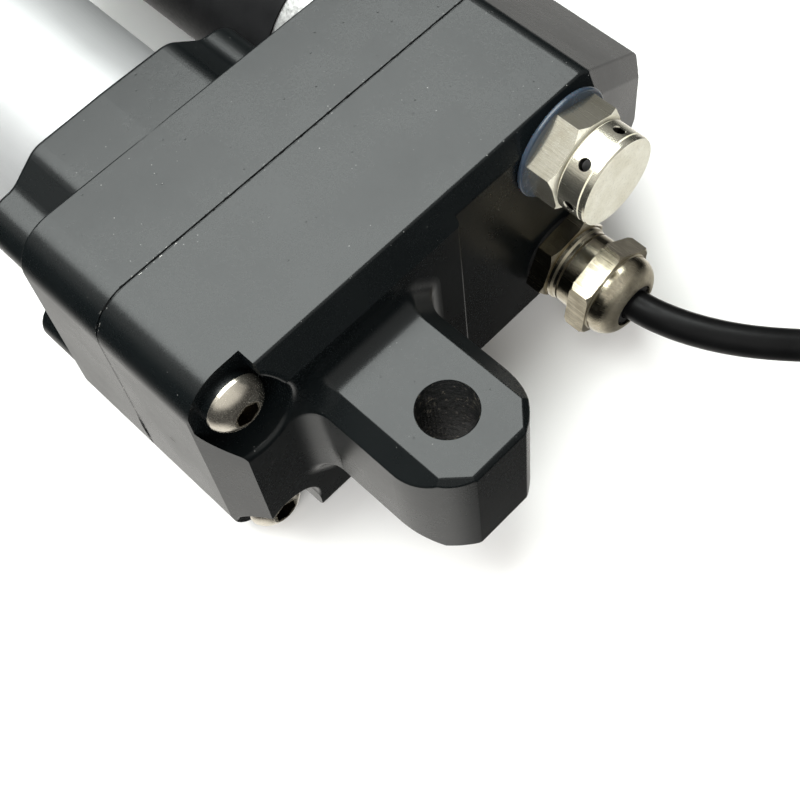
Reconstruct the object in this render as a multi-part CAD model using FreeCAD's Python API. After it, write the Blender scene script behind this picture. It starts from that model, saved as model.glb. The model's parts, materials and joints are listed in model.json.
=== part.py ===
import FreeCAD, Part
import math, os
from FreeCAD import Vector as V

os.makedirs("parts", exist_ok=True)

# ---------------------------------------------------------------- dimensions
# Frame: origin at the centre of the rear lug hole, +X along the stroke,
# -Y towards the motor, +Z up. The part lies on its flat underside, z = FLOOR.
Z_TOP, Z_BOT = 24.0, -25.8   # top and underside of the gearbox
FLOOR = Z_BOT
X_REAR = 18.1            # flat rear face of the gearbox round the lug
X_MOTOR = 19.2           # rear face beyond the step, behind the motor
Y_STEP = -22.4           # the step between the two
X_SEAM = 46.5            # joint between the two castings
GASKET = 0.5
X_FRONT = 66.0           # front face of the gearbox
X_NOSE = 78.5            # front of the collar round the tube
Y_END = 29.3             # end face away from the motor
R_END, R_END_LOW = 8.0, 7.0   # its rounding, top and bottom
Y_SLOPE = -55.0          # the sloped shoulders of the motor end start here
Y_MOTOR_END = -76.5
Z_MOTOR_END, Z_MOTOR_END_LOW = 5.0, -6.8
WALL = 3.4
GEAR_ROOM = 19.4         # round the screw gear

LUG_HALF_T = 12.65       # half thickness of the lug
LUG_HALF_W = 12.4
LUG_END = -11.2
LUG_FLAT = 5.3           # half width of the lug's flat end; large roundings run from it to the sides
LUG_SIDE_BEVEL = 3.4
LUG_END_BEVEL = 0.7
PIVOT_R = 5.0            # pivot holes, 10 mm pins

SCREW_Y = 21.85
SCREW_ZS = (16.3, -20.4)  # the two rear screws, M6 button head
SCREW_SEAT = 23.3        # under the screw heads
POCKET_FLOOR = 25.0      # round the seats
SCREW_TIP = 64.0
FRONT_SCREW_Y = -71.4    # one M5 socket screw at the motor end, driven from the front

MOD = 0.9                # gear module
N_PINION, N_IDLER_BIG, N_IDLER_SMALL, N_SCREW = 14, 38, 16, 40
Y_IDLER = -MOD * (N_IDLER_SMALL + N_SCREW) / 2.0          # -25.2
Y_MOTOR = Y_IDLER - MOD * (N_PINION + N_IDLER_BIG) / 2.0  # -48.6
TOOTH_SLACK = 0.16       # tooth thinned for backlash

TUBE_R, TUBE_RI = 20.0, 17.0
TUBE_X0, TUBE_X1 = 69.5, 205.0
ROD_R, ROD_RI = 11.0, 7.6
ROD_X0, ROD_X1 = 93.0, 222.0
FRONT_EYE_X = 237.0
STROKE = 100.0

MOTOR_R = 18.2
MOTOR_RIM = 76.6         # where the can meets the end plate
MOTOR_X1 = 150.0

VENT_Y, VENT_Z = -46.4, 16.0
GLAND_Y, GLAND_Z = -46.0, -14.5
CABLE_D = 5.8

COIL_R = 32.0            # middle of the coil's turns
COIL_Z0 = FLOOR + 1.3
COIL_P = 6.1              # spacing of the coil's turns
COIL_T = COIL_P + CABLE_D

X = V(1, 0, 0)


# ---------------------------------------------------------------- helpers
def cyl(r, x0, x1, y=0.0, z=0.0):
    return Part.makeCylinder(r, x1 - x0, V(x0, y, z), X)


def ring(ro, ri, x0, x1, y=0.0, z=0.0):
    return cyl(ro, x0, x1, y, z).cut(cyl(ri, x0 - 1, x1 + 1, y, z))


def box(x0, x1, y0, y1, z0, z1):
    return Part.makeBox(x1 - x0, y1 - y0, z1 - z0, V(x0, y0, z0))


def poly_x(pts, x0, x1):
    """Prism along X from (y, z) points."""
    w = Part.makePolygon([V(x0, y, z) for y, z in pts] + [V(x0, *pts[0])])
    return Part.Face(w).extrude(V(x1 - x0, 0, 0))


def poly_z(pts, z0, z1):
    """Prism along Z from (x, y) points."""
    w = Part.makePolygon([V(x, y, z0) for x, y in pts] + [V(pts[0][0], pts[0][1], z0)])
    return Part.Face(w).extrude(V(0, 0, z1 - z0))


def hexagon(af, x0, x1, y, z, deg):
    rc = af / math.sqrt(3)
    pts = [(y + rc * math.cos(math.radians(deg + 60 * k)), z + rc * math.sin(math.radians(deg + 60 * k))) for k in range(6)]
    return poly_x(pts, x0, x1)


def spin(pts, y=0.0, z=0.0):
    """Solid of revolution about the X line through (y, z) from (x, r) points."""
    w = Part.makePolygon([V(x, y + r, z) for x, r in pts] + [V(pts[0][0], y + pts[0][1], z)])
    return Part.Face(w).revolve(V(0, y, z), X, 360)


def revolved(segs, y=0.0, z=0.0):
    """As spin(), from a closed chain of lines and three-point arcs in (x, r)."""
    at = lambda q: V(q[0], y + q[1], z)
    edges = [(Part.LineSegment(at(g[1]), at(g[2])) if g[0] == "line" else Part.Arc(at(g[1]), at(g[2]), at(g[3]))).toShape() for g in segs]
    return Part.Face(Part.Wire(edges)).revolve(V(0, y, z), X, 360)


def fillet(shape, radius, pick):
    """Round the edges that pick() accepts, as one set or else one by one."""
    edges = [e for e in shape.Edges if pick(e)]
    if not edges:
        return shape
    try:
        s = shape.makeFillet(radius, edges)
        if s.isValid() and s.Volume > 0:
            return s
    except Exception as err:
        print("fillet set", radius, err)
    return shape


def chamfer(shape, size, pick):
    edges = [e for e in shape.Edges if pick(e)]
    try:
        s = shape.makeChamfer(size, edges)
        if s.isValid() and s.Volume > 0:
            return s
    except Exception as err:
        print("chamfer", size, err)
    return shape


def along_x(e):
    if len(e.Vertexes) != 2:
        return False
    d = e.Vertexes[1].Point - e.Vertexes[0].Point
    return abs(d.y) < 1e-6 and abs(d.z) < 1e-6


def hexkey(af, x0, x1, y, z):
    return hexagon(af, x0, x1, y, z, 30)


NODES = {}


def node(name, shape):
    if isinstance(shape, (list, tuple)):
        shape = Part.makeCompound(list(shape))
    NODES[name] = shape


# ---------------------------------------------------------------- gearbox outline
def outline(inset=0.0):
    i = inset
    k = math.tan(math.radians(22))
    return [
        (Y_END - i, Z_BOT + i), (Y_END - i, Z_TOP - i), (Y_SLOPE + i * k, Z_TOP - i),
        (Y_MOTOR_END + i, Z_MOTOR_END - i * 0.35), (Y_MOTOR_END + i, Z_MOTOR_END_LOW + i * 0.35), (Y_SLOPE + i * k, Z_BOT + i),
    ]


def block(x0, x1, inset=0.0, rounded=True):
    s = poly_x(outline(inset), x0, x1)
    if rounded:
        s = fillet(s, R_END - inset * 0.9, lambda e: along_x(e) and e.Vertexes[0].Y > 0 and e.Vertexes[0].Z > 0)
        s = fillet(s, R_END_LOW - inset * 0.9, lambda e: along_x(e) and e.Vertexes[0].Y > 0 and e.Vertexes[0].Z < -20)
        s = fillet(s, 3.5, lambda e: along_x(e) and e.Vertexes[0].Y < 0)
    return s


# ---------------------------------------------------------------- rear casting
rear = block(X_REAR, X_SEAM - GASKET / 2)
# the rear face steps back behind the motor and falls away towards the motor end; the far corner is cut across
rear = rear.cut(poly_z([(X_REAR - 5, Y_STEP), (X_MOTOR, Y_STEP), (X_MOTOR, -57.0), (X_MOTOR + 6.4, -78.0), (X_REAR - 5, -78.0)], -40, 40))
CORNER_X, CORNER_Y = 7.4, 3.8
rear = rear.cut(poly_z([(X_REAR - CORNER_X * 0.2, Y_END - CORNER_Y * 1.2), (X_REAR + CORNER_X * 1.2, Y_END + CORNER_Y * 0.2), (X_REAR - CORNER_X * 0.2, Y_END + CORNER_Y * 0.2)], -40, 40))


def bevel(shape, at, n1, leg1, n2, leg2):
    """Shave the edge through `at` where two flat faces with outward normals n1, n2 meet."""
    n1.normalize()
    n2.normalize()
    e = n1.cross(n2)
    e.normalize()
    t1 = n1.cross(e)
    t1 = t1 if t1.dot(n2) < 0 else t1 * -1
    t2 = n2.cross(e)
    t2 = t2 if t2.dot(n1) < 0 else t2 * -1
    a, b = at + t1 * leg1, at + t2 * leg2
    n = e.cross(a - b)
    n.normalize()
    n = n if n.dot(n1 + n2) > 0 else n * -1
    u = a - b
    u.normalize()
    c = (a + b) * 0.5
    sq = [c + e * (150 * i) + u * (40 * j) for i, j in ((1, 1), (-1, 1), (-1, -1), (1, -1))]
    return shape.cut(Part.Face(Part.makePolygon(sq + [sq[0]])).extrude(n * 40))


LEGS = {1: (2.4, 3.2), -1: (0.8, 1.0)}      # the bevel is wide along the top, slight along the underside; measured behind the motor
n_slope = lambda s: V(0, -(Z_TOP - Z_MOTOR_END), s * (Y_SLOPE - Y_MOTOR_END))
n_fall = V(-21.0, -6.4, 0)
for s in (1, -1):
    leg_side, leg_face = LEGS[s]
    z_edge = Z_TOP if s > 0 else Z_BOT
    rear = bevel(rear, V(X_MOTOR if s > 0 else X_REAR, 0, z_edge), V(0, 0, s), leg_side, V(-1, 0, 0), leg_face)
    k = 10.0 / (Z_TOP - Z_MOTOR_END)
    y_e = Y_SLOPE + (Y_MOTOR_END - Y_SLOPE) * k
    rear = bevel(rear, V(X_MOTOR + (-57.0 - y_e) * 6.4 / 21.0, y_e, z_edge - s * 10.0), n_slope(s), leg_side, V(n_fall), leg_face)
rear = bevel(rear, V(X_MOTOR + (-57.0 - Y_MOTOR_END) * 6.4 / 21.0, Y_MOTOR_END, 0), V(0, -1, 0), LEGS[1][0], V(n_fall), LEGS[1][1])

EDGE_R = 0.7             # the casting's edges are slightly rounded


def convex_rear(e):
    bb = e.BoundBox
    if abs(bb.YMin - Y_STEP) < 1e-3 and abs(bb.YMax - Y_STEP) < 1e-3 and bb.XMax > X_REAR + 0.5:
        return False
    if bb.XMax < X_REAR + 0.01 and bb.YMin > Y_END - CORNER_Y - 0.01:
        return False
    return bb.XMax < X_MOTOR + 12 and e.Length > 1.5 and bb.ZMax > Z_BOT + 2.0


# open corner pockets round the two rear screws, with a rounded lip
POCKETS = ((15.3, 7.4, 17.4, 1), (SCREW_ZS[1], 6.4, 15.6, -1))      # centre height, radius, side of the opening, up or down
for zc_, r_, y_open, s in POCKETS:
    pocket = cyl(r_, X_REAR - 10, POCKET_FLOOR, SCREW_Y, zc_)
    za, zb = sorted((zc_, s * 40))
    pocket = pocket.fuse(box(X_REAR - 10, POCKET_FLOOR, y_open, 50, za, zb)).removeSplitter()
    rear = rear.cut(pocket)

    def lip(e):
        if e.BoundBox.XMax > POCKET_FLOOR - 0.3 or e.Length < 0.4:
            return False
        a0, a1 = e.ParameterRange
        return all(abs(math.hypot(q.y - SCREW_Y, q.z - zc_) - r_) < 0.01 for q in (e.valueAt(a0 + (a1 - a0) * t) for t in (0.1, 0.5, 0.9))) and not along_x(e)
    for lr in (1.0, 0.9, 0.8, 0.7, 0.6, 0.5, 0.4):
        f = fillet(rear, lr, lip)
        if f is not rear:
            rear = f
            print("pocket lip", s, lr)
            break

def clear_of_pockets(e):
    bb = e.BoundBox
    return e.Length > 3.0 and not (bb.YMin > 12.5 and bb.XMin > X_REAR + 0.05 and bb.XMax < POCKET_FLOOR + 2.0) and not any(
        abs(math.hypot(q.Point.y - SCREW_Y, q.Point.z - zc_) - r_) < 1.6 and q.Point.y < SCREW_Y + 1.0 for q in e.Vertexes for zc_, r_, _, _ in POCKETS)


for r in (EDGE_R, 0.5, 0.35, 0.25):
    soft = fillet(rear, r, lambda e: convex_rear(e) and clear_of_pockets(e))
    if soft is not rear:
        print("rear edges rounded", r)
        rear = soft
        break

# lug: plan outline x end profile x side profile
rho = (LUG_END ** 2 + (LUG_HALF_W - LUG_FLAT) ** 2) / (2 * (LUG_HALF_W - LUG_FLAT))     # rounding from the hole's line to the flat end
half_turn = math.asin(-LUG_END / rho) / 2
mid_x, mid_y = -rho * math.sin(half_turn), LUG_HALF_W - rho * (1 - math.cos(half_turn))
z0 = -LUG_HALF_T
plan = Part.Face(Part.Wire([
    Part.LineSegment(V(40, LUG_HALF_W, z0), V(0, LUG_HALF_W, z0)).toShape(),
    Part.Arc(V(0, LUG_HALF_W, z0), V(mid_x, mid_y, z0), V(LUG_END, LUG_FLAT, z0)).toShape(),
    Part.LineSegment(V(LUG_END, LUG_FLAT, z0), V(LUG_END, -LUG_FLAT, z0)).toShape(),
    Part.Arc(V(LUG_END, -LUG_FLAT, z0), V(mid_x, -mid_y, z0), V(0, -LUG_HALF_W, z0)).toShape(),
    Part.LineSegment(V(0, -LUG_HALF_W, z0), V(40, -LUG_HALF_W, z0)).toShape(),
    Part.LineSegment(V(40, -LUG_HALF_W, z0), V(40, LUG_HALF_W, z0)).toShape(),
])).extrude(V(0, 0, 2 * LUG_HALF_T))
b = LUG_SIDE_BEVEL
oct_pts = [(LUG_HALF_W, LUG_HALF_T - b), (LUG_HALF_W - b, LUG_HALF_T), (-LUG_HALF_W + b, LUG_HALF_T), (-LUG_HALF_W, LUG_HALF_T - b),
           (-LUG_HALF_W, -LUG_HALF_T + b), (-LUG_HALF_W + b, -LUG_HALF_T), (LUG_HALF_W - b, -LUG_HALF_T), (LUG_HALF_W, -LUG_HALF_T + b)]
lug = plan.common(poly_x(oct_pts, -30, 40))
c = LUG_END_BEVEL
end_w = Part.makePolygon([V(40, -30, LUG_HALF_T), V(LUG_END + c, -30, LUG_HALF_T), V(LUG_END, -30, LUG_HALF_T - c), V(LUG_END, -30, -LUG_HALF_T + c),
                          V(LUG_END + c, -30, -LUG_HALF_T), V(40, -30, -LUG_HALF_T), V(40, -30, LUG_HALF_T)])
lug = lug.common(Part.Face(end_w).extrude(V(0, 60, 0)))
lug = lug.common(box(-30, X_REAR + 3, -40, 40, -40, 40)).removeSplitter()
# the four corners of the flat faces are cut straight across
for sy in (1, -1):
    for sz in (1, -1):
        n = V(-1, sy, sz * math.sqrt(2))
        n.normalize()
        e = V(-1, -sy, 0)
        e.normalize()
        u = n.cross(e)
        c0 = V(-8.85, sy * 7.15, sz * LUG_HALF_T)
        sq = [c0 + e * (30 * i) + u * (30 * j) for i, j in ((1, 1), (-1, 1), (-1, -1), (1, -1))]
        lug = lug.cut(Part.Face(Part.makePolygon(sq + [sq[0]])).extrude(n * 30))
lug = lug.removeSplitter()
for lr in (0.5, 0.35, 0.22):
    soft = fillet(lug, lr, lambda e: e.BoundBox.XMin < X_REAR + 2.5)
    if soft is not lug:
        print("lug edges rounded", lr)
        lug = soft
        break
rear = rear.fuse(lug).removeSplitter()


def root_edge(e):
    bb = e.BoundBox
    return abs(bb.XMin - X_REAR) < 1e-4 and abs(bb.XMax - X_REAR) < 1e-4 and abs(bb.Center.y) < LUG_HALF_W + 0.1 and abs(bb.Center.z) < LUG_HALF_T + 0.1 and bb.ZMax < LUG_HALF_T + 0.1 and bb.ZMin > -LUG_HALF_T - 0.1


for r in (4.6, 3.6, 2.6):
    f = fillet(rear, r, root_edge)
    if f is not rear:
        rear = f
        print("lug root fillet", r)
        break

# raised seats under the screw heads
for z in SCREW_ZS:
    rear = rear.fuse(cyl(5.0, SCREW_SEAT, POCKET_FLOOR + 0.5, SCREW_Y, z).common(block(X_REAR, X_SEAM, 0.6))).removeSplitter()

# inside: cavity, solid corners round the screws, bearing seat, idler seat
cav_x0 = X_MOTOR + 5.0
cav = block(cav_x0, X_SEAM + 1, WALL, False)
cav = cav.common(poly_z([(cav_x0, 60), (cav_x0, -57.0), (cav_x0 + 6.4, -78.0), (X_SEAM + 1, -78.0), (X_SEAM + 1, 60)], -40, 40))
for z in SCREW_ZS:
    cav = cav.cut(box(0, X_SEAM + 2, SCREW_Y - 9.2, 60, z - 9.4, z + 9.4).common(box(0, 32.0, -60, 60, -60, 60))).cut(box(0, X_SEAM + 2, SCREW_Y - 7.4, 60, z - 7.4, z + 7.4))
cav = cav.fuse(cyl(GEAR_ROOM, 38.6, X_SEAM + 1)).cut(cyl(5.0, 0, X_SEAM + 2, FRONT_SCREW_Y, 0))
cav = cav.cut(ring(16.0, 13.0, cav_x0 - 1, 34.0))
cav = cav.cut(cyl(5.5, cav_x0 - 1, 33.0, Y_IDLER, 0))
rear = rear.cut(cav)
for z in SCREW_ZS:
    rear = rear.cut(cyl(3.2, X_REAR - 5, X_SEAM + 1, SCREW_Y, z))
rear = rear.cut(cyl(2.55, X_SEAM - 14, X_SEAM + 1, FRONT_SCREW_Y, 0))
rear = rear.cut(cyl(3.0, cav_x0 - 1.5, 34.0, Y_IDLER, 0))
rear = rear.cut(cyl(5.05, X_REAR - 5, cav_x0 + 5, VENT_Y, VENT_Z))
rear = rear.cut(cyl(6.05, X_REAR - 5, cav_x0 + 5, GLAND_Y, GLAND_Z))
rear = rear.cut(Part.makeCylinder(PIVOT_R, 60, V(0, 0, -30), V(0, 0, 1)))
node("rear_housing", rear)

# ---------------------------------------------------------------- gasket
gasket = block(X_SEAM - GASKET / 2, X_SEAM + GASKET / 2, 0.25).cut(block(X_SEAM - 2, X_SEAM + 2, WALL, False))
for z in SCREW_ZS:
    g = box(X_SEAM - GASKET / 2, X_SEAM + GASKET / 2, SCREW_Y - 7.2, Y_END, max(z - 7.2, Z_BOT), min(z + 7.2, Z_TOP))
    g = g.common(block(X_SEAM - 2, X_SEAM + 2, 0.25))
    gasket = gasket.fuse(g).cut(cyl(3.2, X_SEAM - 3, X_SEAM + 3, SCREW_Y, z))
gasket = gasket.cut(cyl(GEAR_ROOM, X_SEAM - 3, X_SEAM + 3))
gasket = gasket.fuse(cyl(4.8, X_SEAM - GASKET / 2, X_SEAM + GASKET / 2, FRONT_SCREW_Y, 0).common(block(X_SEAM - 2, X_SEAM + 2, 0.25)))
gasket = gasket.cut(cyl(2.7, X_SEAM - 3, X_SEAM + 3, FRONT_SCREW_Y, 0))
node("housing_gasket", gasket.removeSplitter())

# ---------------------------------------------------------------- front casting
front = block(X_SEAM + GASKET / 2, X_FRONT)
front = fillet(front, 0.5, lambda e: abs(e.BoundBox.XMin - X_FRONT) < 1e-4)
# collar round the tube: nearly flat on top, sloping shoulders that run into a rounded boss at each corner
half = [(14.6, 23.7), (21.6, 18.4), (22.8, 16.0), (22.8, -16.0), (20.2, -21.0), (14.6, -24.6)]
nose = poly_x([(0.0, 24.0)] + half + [(0.0, -24.8)] + [(-y, z) for y, z in reversed(half)], X_FRONT - 4, X_NOSE)
nose = fillet(nose, 5.0, lambda e: along_x(e) and abs(abs(e.Vertexes[0].Y) - 14.6) < 0.01)
for sy in (1, -1):
    for yb, zb_ in ((22.2, 12.9), (22.5, -17.0)):
        nose = nose.fuse(cyl(6.0, X_FRONT - 4, X_NOSE, sy * yb, zb_))
nose = nose.removeSplitter()
for lr in (4.0, 3.0, 2.0):
    soft = fillet(nose, lr, lambda e: along_x(e) and 20.0 < abs(e.Vertexes[0].Y) < 21.9 and e.Vertexes[0].Z > 17)
    if soft is not nose:
        print("collar shoulders blended", lr)
        nose = soft
        break
soft = fillet(nose, 0.9, lambda e: abs(e.BoundBox.XMin - X_NOSE) < 1e-4 and abs(e.BoundBox.XMax - X_NOSE) < 1e-4)
print("collar rim rounded", soft is not nose)
nose = soft
front = front.fuse(nose).removeSplitter()
fcav = block(X_SEAM - 1, X_FRONT - 4.0, WALL, False)
for z in SCREW_ZS:
    fcav = fcav.cut(box(X_SEAM - 2, X_FRONT, SCREW_Y - 7.4, 60, z - 7.4, z + 7.4))
fcav = fcav.fuse(cyl(GEAR_ROOM, X_SEAM - 1, 49.4))
fcav = fcav.cut(cyl(5.0, X_SEAM - 2, X_FRONT, FRONT_SCREW_Y, 0))
fcav = fcav.cut(ring(16.5, 13.0, 57.5, X_FRONT))
fcav = fcav.cut(cyl(5.0, 59.0, X_FRONT, Y_IDLER, 0).cut(cyl(13.0, 50, 70)))
front = front.cut(fcav)
front = front.cut(cyl(13.0, 50.0, 66.5)).cut(cyl(8.0, 60, 72)).cut(cyl(TUBE_R, TUBE_X0, X_NOSE + 5))
front = front.cut(cyl(3.0, 58.5, 64.0, Y_IDLER, 0))
front = front.cut(cyl(9.0, 60, X_FRONT + 2, Y_MOTOR, 0))
for z in SCREW_ZS:
    front = front.cut(cyl(3.05, X_SEAM - 2, SCREW_TIP + 0.6, SCREW_Y, z))
for s in (1, -1):
    front = front.cut(cyl(2.2, 60, X_FRONT + 2, Y_MOTOR, s * 13.0))
front = front.cut(cyl(2.75, X_SEAM - 2, X_FRONT + 2, FRONT_SCREW_Y, 0))
# groove for the tube's sealing ring
front = front.cut(ring(TUBE_R + 1.4, TUBE_R - 1, 73.0, 75.6))
node("front_housing", front)

# ---------------------------------------------------------------- casing screws
rear_screws = []
for z in SCREW_ZS:
    y = SCREW_Y
    head = revolved([("line", (SCREW_SEAT, 0), (SCREW_SEAT, 5.25)), ("line", (SCREW_SEAT, 5.25), (SCREW_SEAT - 0.6, 5.25)),
                     ("arc", (SCREW_SEAT - 0.6, 5.25), (SCREW_SEAT - 2.25, 4.25), (SCREW_SEAT - 3.3, 2.6)),
                     ("line", (SCREW_SEAT - 3.3, 2.6), (SCREW_SEAT - 3.3, 0)), ("line", (SCREW_SEAT - 3.3, 0), (SCREW_SEAT, 0))], y, z)
    head = head.cut(hexkey(4.0, SCREW_SEAT - 5, SCREW_SEAT - 1.2, y, z))
    rear_screws.append(head.fuse(cyl(3.0, SCREW_SEAT, SCREW_TIP, y, z)).removeSplitter())
node("housing_screws", rear_screws)
head = cyl(4.25, X_FRONT, X_FRONT + 5.0, FRONT_SCREW_Y, 0)
head = fillet(head, 0.5, lambda e: abs(e.BoundBox.XMin - X_FRONT - 5.0) < 1e-4)
head = head.cut(hexkey(4.0, X_FRONT + 2.4, X_FRONT + 6, FRONT_SCREW_Y, 0))
node("motor_side_screw", head.fuse(cyl(2.5, 33.0, X_FRONT, FRONT_SCREW_Y, 0)).removeSplitter())

# ---------------------------------------------------------------- tube and its front end
node("outer_tube", ring(TUBE_R - 0.02, TUBE_RI, TUBE_X0, TUBE_X1))
node("tube_seal_ring", ring(TUBE_R + 1.3, TUBE_R + 0.02, 73.1, 75.5))
cap = box(196.0, 214.0, -24.0, 24.0, FLOOR, 24.0)
cap = fillet(cap, 9.0, along_x)
cap = fillet(cap, 1.5, lambda e: e.BoundBox.XLength < 1e-5)
cap = cap.cut(cyl(TUBE_R + 0.02, 190, TUBE_X1)).cut(cyl(12.6, 200, 220)).cut(cyl(14.5, 208.5, 220))
node("front_cap", cap)
node("guide_bush", ring(TUBE_RI - 0.03, ROD_R + 0.05, 195.0, TUBE_X1).fuse(ring(12.5, ROD_R + 0.05, TUBE_X1, 208.4)).removeSplitter())
node("rod_wiper", spin([(208.6, ROD_R + 0.06), (208.6, 14.4), (213.0, 14.4), (214.8, ROD_R + 1.5), (214.8, ROD_R + 0.06)]))
grub = []
for a in (90, 210, 330):
    d = V(0, math.cos(math.radians(a)), math.sin(math.radians(a)))
    grub.append(Part.makeCylinder(1.9, 2.6, V(200.0, 0, 0) + d * (TUBE_R + 0.1), d).cut(Part.makeCylinder(0.9, 2.0, V(200.0, 0, 0) + d * (TUBE_R + 1.4), d)))
cap2 = NODES["front_cap"]
for a in (90, 210, 330):
    d = V(0, math.cos(math.radians(a)), math.sin(math.radians(a)))
    cap2 = cap2.cut(Part.makeCylinder(1.95, 30, V(200.0, 0, 0) + d * (TUBE_R - 1), d))
node("front_cap", cap2)
node("front_cap_screws", grub)

# ---------------------------------------------------------------- push rod, nut and eye
rod = ring(ROD_R, ROD_RI, ROD_X0, ROD_X1).cut(Part.makeCylinder(2.5, 40, V(216.5, 0, -20), V(0, 0, 1)))
node("push_rod", rod)
eye_half_t = 10.0
eye = cyl(ROD_R - 0.0, ROD_X1, 226.0)
blk = poly_z([(226.0, 11.0), (226.0, -11.0), (FRONT_EYE_X + 11.0, -11.0), (FRONT_EYE_X + 11.0, 11.0)], -eye_half_t, eye_half_t)
blk = fillet(blk, 8.5, lambda e: e.BoundBox.XMin > FRONT_EYE_X and e.BoundBox.ZLength > 10)
blk = chamfer(blk, 1.0, lambda e: e.BoundBox.ZLength < 1e-5 and e.BoundBox.XMax > 226.5)
eye = eye.fuse(blk).fuse(cyl(ROD_RI - 0.02, 206.0, ROD_X1)).removeSplitter()
eye = eye.cut(Part.makeCylinder(PIVOT_R, 60, V(FRONT_EYE_X, 0, -30), V(0, 0, 1)))
eye = eye.cut(Part.makeCylinder(2.5, 40, V(216.5, 0, -20), V(0, 0, 1)))
node("rod_end", eye)
pin = Part.makeCylinder(2.48, 2 * ROD_R - 0.9, V(216.5, 0, -ROD_R + 0.45), V(0, 0, 1))
node("rod_end_pin", pin)
nut = cyl(12.0, 84.0, ROD_X0).fuse(cyl(ROD_RI - 0.02, ROD_X0, 104.0)).cut(cyl(6.06, 70, 120)).removeSplitter()
node("drive_nut", nut)

# ---------------------------------------------------------------- lead screw
node("lead_screw", spin([(25.6, 0), (25.6, 4.6), (26.0, 4.99), (34.2, 4.99), (34.2, 7.5), (39.6, 7.5), (39.6, 4.99), (68.2, 4.99), (68.2, 6.0), (197.0, 6.0), (198.0, 5.0), (198.0, 0)]))


def bearing(x0, x1):
    """Closed ball bearing, 10 x 26 x 8, drawn as two rings and a filled gap."""
    outer = ring(12.98, 5.0, x0, x1)
    for xa, xb in ((x0 - 0.1, x0 + 0.5), (x1 - 0.5, x1 + 0.1)):
        outer = outer.cut(ring(11.0, 7.4, xa, xb))
    return outer


node("rear_bearing", bearing(26.0, 34.0))
node("front_bearing", bearing(58.4, 66.4))
node("screw_collar", ring(6.6, 5.0, 54.6, 58.2))


# ---------------------------------------------------------------- gears
def gear(n, x0, x1, y, z, phase, bore):
    """Involute spur gear about the X line through (y, z); phase is one tooth's angle in degrees."""
    r = MOD * n / 2.0
    rt, rr = r + 0.85 * MOD, r - 1.2 * MOD
    rb = r * math.cos(math.radians(20))
    inv = lambda a: math.tan(a) - a
    half = (math.pi * MOD / 2.0 - TOOTH_SLACK) / 2.0 / r
    rs = [max(rb, rr)] + [max(rb, rr) + (rt - max(rb, rr)) * k / 3.0 for k in (1, 2, 3)]
    ps = [half + inv(math.radians(20)) - inv(math.acos(min(1.0, rb / q))) for q in rs]
    pts = []
    for k in range(n):
        a0 = math.radians(phase) + 2 * math.pi * k / n
        side = [(rr, ps[0])] if rr < rb - 1e-6 else []
        side += list(zip(rs, ps))
        for q, p in side:
            pts.append((q, a0 - p))
        for q, p in reversed(side):
            pts.append((q, a0 + p))
    g = poly_x([(y + q * math.cos(a), z + q * math.sin(a)) for q, a in pts], x0, x1)
    return g.cut(cyl(bore, x0 - 1, x1 + 1, y, z)) if bore else g


node("screw_gear", gear(N_SCREW, 40.0, 48.0, 0, 0, 180.0 / N_SCREW, 5.0))
idler = gear(N_IDLER_SMALL, 39.0, 50.2, Y_IDLER, 0, 0.0, 0).fuse(gear(N_IDLER_BIG, 50.2, 57.0, Y_IDLER, 0, 180.0 / N_IDLER_BIG, 0))
idler = idler.fuse(cyl(5.2, 33.6, 39.0, Y_IDLER, 0)).cut(cyl(3.05, 20, 70, Y_IDLER, 0))
node("idler_gear", idler)
node("idler_shaft", cyl(2.98, cav_x0 - 1.2, 63.8, Y_IDLER, 0))
node("motor_pinion", gear(N_PINION, 49.6, 58.0, Y_MOTOR, 0, 0.0, 2.5))

# ---------------------------------------------------------------- motor
yM = Y_MOTOR
node("motor_shaft", cyl(2.49, 48.6, 147.0, yM))
node("armature_core", ring(12.4, 2.5, 96.0, 130.0, yM))
node("armature_windings", [ring(11.0, 2.5, 89.6, 96.0, yM), ring(11.0, 2.5, 130.0, 136.0, yM)])
node("commutator", ring(6.6, 2.5, 80.6, 89.6, yM))
can = cyl(MOTOR_R, MOTOR_RIM, MOTOR_X1, yM)
can = fillet(can, 3.0, lambda e: abs(e.BoundBox.XMin - MOTOR_X1) < 1e-4)
can = can.cut(cyl(MOTOR_R - 1.3, MOTOR_RIM - 1, MOTOR_X1 - 1.3, yM)).fuse(ring(7.0, 4.0, MOTOR_X1 - 8.0, MOTOR_X1, yM)).cut(cyl(4.0, MOTOR_X1 - 9, MOTOR_X1 - 1.0, yM))
node("motor_can", can.removeSplitter())
plate = cyl(MOTOR_R - 0.4, X_FRONT, MOTOR_RIM, yM).fuse(cyl(MOTOR_R - 1.35, MOTOR_RIM, MOTOR_RIM + 2.0, yM)).fuse(cyl(8.9, X_FRONT - 3.6, X_FRONT, yM))
plate = plate.cut(cyl(4.0, 60, 74.0, yM)).cut(cyl(3.0, 60, 90, yM)).cut(cyl(9.0, 74.0, 90, yM))
for s in (1, -1):
    plate = plate.cut(cyl(2.0, X_FRONT - 2, 75.0, yM, s * 13.0))
plate = plate.cut(ring(16.9, 14.9, X_FRONT - 1, X_FRONT + 1.4, yM))
node("motor_end_plate", plate.removeSplitter())
node("motor_seal_ring", ring(16.85, 14.95, X_FRONT, X_FRONT + 1.4, yM))
node("motor_bushes", [ring(3.98, 2.52, 66.0, 73.9, yM), ring(3.98, 2.52, MOTOR_X1 - 7.5, MOTOR_X1 - 1.1, yM)])
msc = []
for s in (1, -1):
    h = cyl(3.4, X_FRONT - 6.6, X_FRONT - 4.02, yM, s * 13.0).cut(hexkey(2.5, X_FRONT - 7, X_FRONT - 5.2, yM, s * 13.0))
    msc.append(h.fuse(cyl(1.98, X_FRONT - 4.02, 74.4, yM, s * 13.0)).removeSplitter())
node("motor_screws", msc)
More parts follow.
